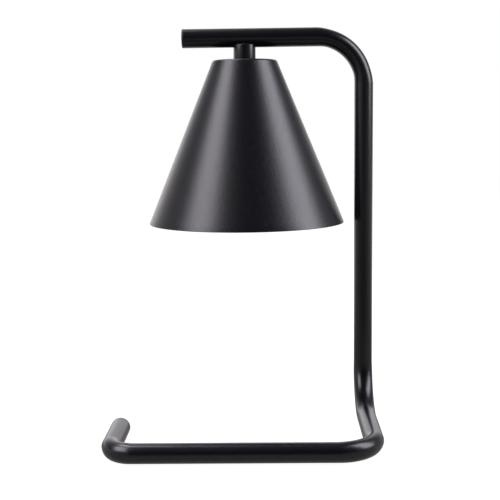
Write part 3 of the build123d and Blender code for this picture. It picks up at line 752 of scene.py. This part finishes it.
bowlOuter, bowlInner = bowlCurve(0), bowlCurve(bowlSizes["wall"])
bowlOutline = ([(bowlSizes["neckRadius"], bowlHigh.z)] + bowlOuter
               + [(bowlSizes["rimRadius"], bowlLow.z + bowlSizes["rimEdge"]),
                  (bowlSizes["rimRadius"] - bowlSizes["rimEdge"], bowlLow.z),
                  (bowlSizes["rimRadius"] - bowlSizes["wall"], bowlLow.z)]
               + bowlInner[::-1] + [(bowlSizes["neckRadius"] - bowlSizes["wall"], bowlHigh.z)])
bowlMesh = turnMesh("lampReflector", bowlOutline, axisPlace, bowlSizes["sides"])
lampReflector = addPiece("lampReflector", bowlMesh, mirrorCoat)
for face in lampReflector.data.polygons:
    inward = Vector((face.center.x - shadeAxis.x * mm, face.center.y - shadeAxis.y * mm, 0))
    if inward.dot(face.normal) < 0 and bowlBottom * mm < face.center.z < bowlTop * mm:
        face.use_smooth = False
finishPiece(lampReflector, "lamp", "lamp_mirror", "lamp_reflector")

glassLow, glassHigh = nodeBox("lamp_front_glass")
glassSizes = {"radius": (glassHigh.x - glassLow.x) / 2, "edges": (0, 0.4, 0.3)}
glassMesh = turnRing("frontGlass", axisPlace, glassSizes["radius"], glassLow.z, glassHigh.z,
                     edges=glassSizes["edges"], steps=5)
frontGlass = addPiece("frontGlass", glassMesh, lampGlass)
finishPiece(frontGlass, "lamp", "lamp_glass", "lamp_front_glass")

# Inner capsule: a hollow bulb, and above it the pinched seal, a block (width, thickness, length).
capsuleLow, capsuleHigh = nodeBox("lamp_capsule")
capsuleSizes = {"radius": 4.5, "wall": 0.8, "tip": 3.6, "root": 1.4, "pinch": (7.0, 3.0, 9.4),
                "pinchOverlap": 0.4, "pinchEdge": 0.5}
pinchLength = capsuleSizes["pinch"][2]
bulbTop = capsuleHigh.z - pinchLength + capsuleSizes["pinchOverlap"]


def bulbMesh(name, inset):  # the bulb's outside, or its room one wall further in
    return turnRing(name, axisPlace, capsuleSizes["radius"] - inset, capsuleLow.z + inset, bulbTop - inset,
                    edges=(0, capsuleSizes["tip"] - inset, capsuleSizes["root"] - inset),
                    sides=64, steps=10)


lampCapsule = addPiece("lampCapsule", bulbMesh("lampCapsule", 0), lampGlass)
pinchPlace = axisPlace @ Matrix.Translation((0, 0, capsuleHigh.z - pinchLength / 2))
pinchMesh = boxMesh("pinch", pinchPlace, capsuleSizes["pinch"], capsuleSizes["pinchEdge"])
combine(lampCapsule, pinchMesh, "UNION")
cutAway(lampCapsule, bulbMesh("room", capsuleSizes["wall"]))
smoothMesh(lampCapsule.data, sharpAngle=30)
finishPiece(lampCapsule, "lamp", "lamp_glass", "lamp_capsule")

# Coil: wound tungsten wire between two posts.
coilLow, coilHigh = nodeBox("lamp_filament")
coilSizes = {"length": 5.0, "radius": 0.8, "pitch": 0.42, "ridge": 0.17, "steps": 24, "ridgeSides": 8,
             "postSpacing": 4.0, "post": 0.2, "postSides": 12}
post = coilSizes["post"]
coilShape = bmesh.new()
for side, footZ in ((-1, coilLow.z + post), (1, coilLow.z + coilSizes["length"] - post)):
    postX = side * coilSizes["postSpacing"] / 2  # each post is bent in to the coil at one end of it
    for first, last, extra in (((postX, 0, footZ), (postX, 0, coilHigh.z), 0),
                               ((0, 0, footZ), (postX, 0, footZ), post)):
        line = Vector(last) - Vector(first)
        turned = line.to_track_quat("Z", "Y").to_matrix().to_4x4()
        middle = Matrix.Translation((Vector(first) + Vector(last)) / 2)
        bmesh.ops.create_cone(coilShape, cap_ends=True, segments=coilSizes["postSides"], radius1=post,
                              radius2=post, depth=line.length + extra, matrix=middle @ turned)
posts = closeMesh("lampCoil", coilShape, axisPlace)
lampCoil = windRidge("lampCoil", posts, tungstenWire, (shadeAxis.x, shadeAxis.y, 0), coilLow.z,
                     coilSizes["length"], coilSizes)
finishPiece(lampCoil, "lamp", "tungsten", "lamp_filament")

# Finishes of the CAD nodes that stay.
nodeFinishes = {
    "base_ballast_bar": darkSteel, "saddle_nut": zincPlate, "holder_body": holderCeramic,
    "left_contact": contactBrass, "right_contact": contactBrass, "left_lead": leadSleeve,
    "right_lead": leadSleeve, "crimp_caps": milkyNylon, "lamp_base": lampCeramic, "lamp_pins": pinNickel,
}
for name, material in nodeFinishes.items():
    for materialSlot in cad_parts[name].material_slots:
        materialSlot.material = material
print("CAD nodes finished:", len(nodeFinishes))

# What the dark coat mirrors: a bright backdrop behind the lamp, a dim room in front with the camera
# darkest, paler walls near the horizon, and a painted pool of light on the table round the lamp,
# which the floor gives off only to reflections. The numbers are brightness by direction (room,
# walls) or by place on the floor in metres (the painted table light and its sides).
studio = {
    "floorSize": 6.0, "floorColour": "#d9d9d9", "shadowShare": 0.3, "paperGlow": 1.35,
    "warm": (1.0, 0.95, 0.965), "cool": (0.94, 0.93, 1.0),
    "room": ((-1.0, 0.01), (-0.93, 0.03), (-0.5, 0.04), (0.0, 0.08), (0.3, 0.28), (0.6, 0.55), (0.9, 1.6)),
    "walls": ((-1.0, 0.01), (-0.97, 0.03), (-0.93, 0.2), (-0.88, 0.36), (-0.5, 0.5), (-0.2, 0.8),
              (0.3, 0.9), (0.6, 0.95), (0.9, 2.1)),
    "rightDim": (0.15, 0.55, 0.32),  # the right side dims from, to, down to this share
    "wallsEdge": (0.06, 0.3),  # the walls give way to the room between these heights
    # painted light: the floor's glow by place, seen only in reflections, a pool round the lamp
    "paintedTableLight": ((-1.2, 0.42), (-0.85, 0.3), (-0.6, 0.06), (-0.36, 0.08), (-0.2, 0.4), (-0.13, 0.46),
              (0.1, 0.36), (0.6, 1.3)),
    "paintedTableLightSides": ((0.4, 0.0), (0.9, 0.55)),
}

scene = bpy.context.scene
scene.view_settings.view_transform = "Standard"


def addLevels(tree, place, levels, tint):  # brightness along one axis, eased between the stops
    low, high = levels[0][0], levels[-1][0]
    share = addNode(tree, "ShaderNodeMapRange", {0: place, 1: low, 2: high, 3: 0.0, 4: 1.0})
    stops = [((at - low) / (high - low), [level * part for part in tint] + [1.0]) for at, level in levels]
    ramp = addNode(tree, "ShaderNodeValToRGB", {"Fac": share})
    setStops(ramp.color_ramp, stops, "EASE")
    return ramp.outputs["Color"]


def seenStraight(tree, rays):  # 1 for what the camera sees straight or through glass, otherwise 0
    return addNode(tree, "ShaderNodeMath", {0: rays["Is Camera Ray"], 1: rays["Is Transmission Ray"]},
                   operation="MAXIMUM")


world = bpy.data.worlds.new("studioWorld")
world.use_nodes = True
scene.world = world
tree = world.node_tree
tree.nodes.clear()
direction = addNode(tree, "ShaderNodeTexCoord").outputs["Generated"]
split = addNode(tree, "ShaderNodeSeparateXYZ", {"Vector": direction}).outputs
height = addNode(tree, "ShaderNodeMath", {0: split["Z"]}, operation="ABSOLUTE")
nearHorizon = addNode(tree, "ShaderNodeMapRange", {
    0: height, 1: studio["wallsEdge"][0], 2: studio["wallsEdge"][1], 3: 1.0, 4: 0.0},
    interpolation_type="SMOOTHSTEP")
around = addNode(tree, "ShaderNodeMix", {
    "Factor": nearHorizon, "A": addLevels(tree, split["Y"], studio["room"], studio["cool"]),
    "B": addLevels(tree, split["Y"], studio["walls"], studio["warm"])}, data_type="RGBA")
rightDim = addNode(tree, "ShaderNodeMapRange", {
    0: split["X"], 1: studio["rightDim"][0], 2: studio["rightDim"][1], 3: 1.0, 4: studio["rightDim"][2]})
dimmed = addNode(tree, "ShaderNodeVectorMath", {
    0: around.outputs["Result"], "Scale": rightDim}, operation="SCALE")
rays = addNode(tree, "ShaderNodeLightPath").outputs
shown = addNode(tree, "ShaderNodeMix", {
    "Factor": seenStraight(tree, rays), "A": dimmed, "B": (1, 1, 1, 1)}, data_type="RGBA")
background = addNode(tree, "ShaderNodeBackground", {"Color": shown.outputs["Result"]})
addNode(tree, "ShaderNodeOutputWorld", {"Surface": background})

# The floor is white paper to the camera, less a share that keeps the shadow. To what mirrors it,
# it gives off painted light by place, a pool round the lamp standing in for a lit table. From below
# it is clear.
floorMaterial = bpy.data.materials.new("paleStudioFloor")
floorMaterial.use_nodes = True
tree = floorMaterial.node_tree
tree.nodes.clear()
matte = addNode(tree, "ShaderNodeBsdfDiffuse", {"Color": linearColour(studio["floorColour"])})
white = addNode(tree, "ShaderNodeEmission", {"Color": (1, 1, 1, 1), "Strength": studio["paperGlow"]})
rays = addNode(tree, "ShaderNodeLightPath").outputs
paperShare = addNode(tree, "ShaderNodeMath", {0: seenStraight(tree, rays), 1: 1 - studio["shadowShare"]},
                     operation="MULTIPLY")
paper = addNode(tree, "ShaderNodeMixShader", {"Fac": paperShare, 1: matte, 2: white})
spot = addNode(tree, "ShaderNodeNewGeometry").outputs["Position"]
split = addNode(tree, "ShaderNodeSeparateXYZ", {"Vector": spot}).outputs
aside = addNode(tree, "ShaderNodeMath", {0: split["X"]}, operation="ABSOLUTE")
# Painted light: the floor glows by place for reflection rays only, brighter round the lamp.
paintedTableLevels = addNode(tree, "ShaderNodeMix", {
    "Factor": 1.0, "A": addLevels(tree, split["Y"], studio["paintedTableLight"], studio["warm"]),
    "B": addLevels(tree, aside, studio["paintedTableLightSides"], studio["warm"])},
    data_type="RGBA", blend_type="LIGHTEN")
paintedTableLight = addNode(tree, "ShaderNodeEmission", {"Color": paintedTableLevels.outputs["Result"]})
mixed = addNode(tree, "ShaderNodeMixShader", {"Fac": rays["Is Glossy Ray"], 1: paper, 2: paintedTableLight})
clear = addNode(tree, "ShaderNodeBsdfTransparent")
below = addNode(tree, "ShaderNodeNewGeometry").outputs["Backfacing"]
oneWay = addNode(tree, "ShaderNodeMixShader", {"Fac": below, 1: mixed, 2: clear})
addNode(tree, "ShaderNodeOutputMaterial", {"Surface": oneWay})

floorMesh = bpy.data.meshes.new("studioFloor")
half = studio["floorSize"] / 2
floorMesh.from_pydata([(-half, -half, 0), (half, -half, 0), (half, half, 0), (-half, half, 0)], [],
                      [(0, 1, 2, 3)])
studioFloor = addPiece("studioFloor", floorMesh, floorMaterial)

# Each softbox is a long panel that faces the aim. Its ends are (degrees from the camera's side
# towards +X, elevation), its distance and width are metres, its power is watts.
softboxes = {
    "leftSoftbox": {"ends": ((-55, 18), (-80, 58)), "distance": 1.9, "width": 0.98, "power": 36.5,
                    "colour": (0.951, 0.919, 1.0)},
    "backSoftbox": {"ends": ((-108, 62), (-142, 66)), "distance": 1.9, "width": 0.7, "power": 15.0,
                    "colour": (0.951, 0.919, 1.0)},
    "rightSoftbox": {"ends": ((82, 7), (82, 56)), "distance": 1.3, "width": 0.7, "power": 20.0,
                     "colour": (0.921, 0.912, 1.0)},
}
aim = Vector((0.0, 0.0, 0.17))
for name, box in softboxes.items():
    ends = []
    for azimuth, elevation in box["ends"]:
        azimuth, elevation = math.radians(azimuth), math.radians(elevation)
        level = math.cos(elevation)
        ends.append(Vector((math.sin(azimuth) * level, -math.cos(azimuth) * level, math.sin(elevation))))
    away = (ends[0] + ends[1]).normalized()
    along = (ends[1] - ends[0]).normalized()
    light = bpy.data.lights.new(name, "AREA")
    light.shape = "RECTANGLE"
    light.size = box["width"]
    light.size_y = 2 * box["distance"] * math.tan(ends[0].angle(ends[1]) / 2)
    light.energy = box["power"]
    light.color = box["colour"]
    lightObject = bpy.data.objects.new(name, light)
    panel = Matrix((along.cross(away), along, away)).transposed().to_4x4()
    lightObject.matrix_world = Matrix.Translation(aim + away * box["distance"]) @ panel
    scene.collection.objects.link(lightObject)
print("studio lit")

# Camera, fitted to the photograph's outline: its place in mm, its turns in degrees, its lens in mm.
cameraView = {"place": (24.14, -865.13, 262.97), "yaw": -1.258, "pitch": 8.432, "roll": 0.747,
              "lens": 74.048, "sensor": 36, "shiftY": 0.04}
yaw, pitch, roll = (math.radians(cameraView[key]) for key in ("yaw", "pitch", "roll"))
forward = Vector((math.sin(yaw) * math.cos(pitch), math.cos(yaw) * math.cos(pitch), -math.sin(pitch)))
right = Vector((math.cos(yaw), -math.sin(yaw), 0))
down = forward.cross(right)
right, down = right * math.cos(roll) + down * math.sin(roll), down * math.cos(roll) - right * math.sin(roll)
camera = bpy.data.cameras.new("photoCamera")
camera.sensor_width = cameraView["sensor"]
camera.sensor_fit = "HORIZONTAL"
camera.lens = cameraView["lens"]
camera.shift_y = cameraView["shiftY"]
camera.clip_start = 0.01
cameraObject = bpy.data.objects.new("photoCamera", camera)
turned = Matrix((right, -down, -forward)).transposed().to_4x4()
cameraObject.matrix_world = Matrix.Translation(Vector(cameraView["place"]) * mm) @ turned
scene.collection.objects.link(cameraObject)
scene.camera = cameraObject
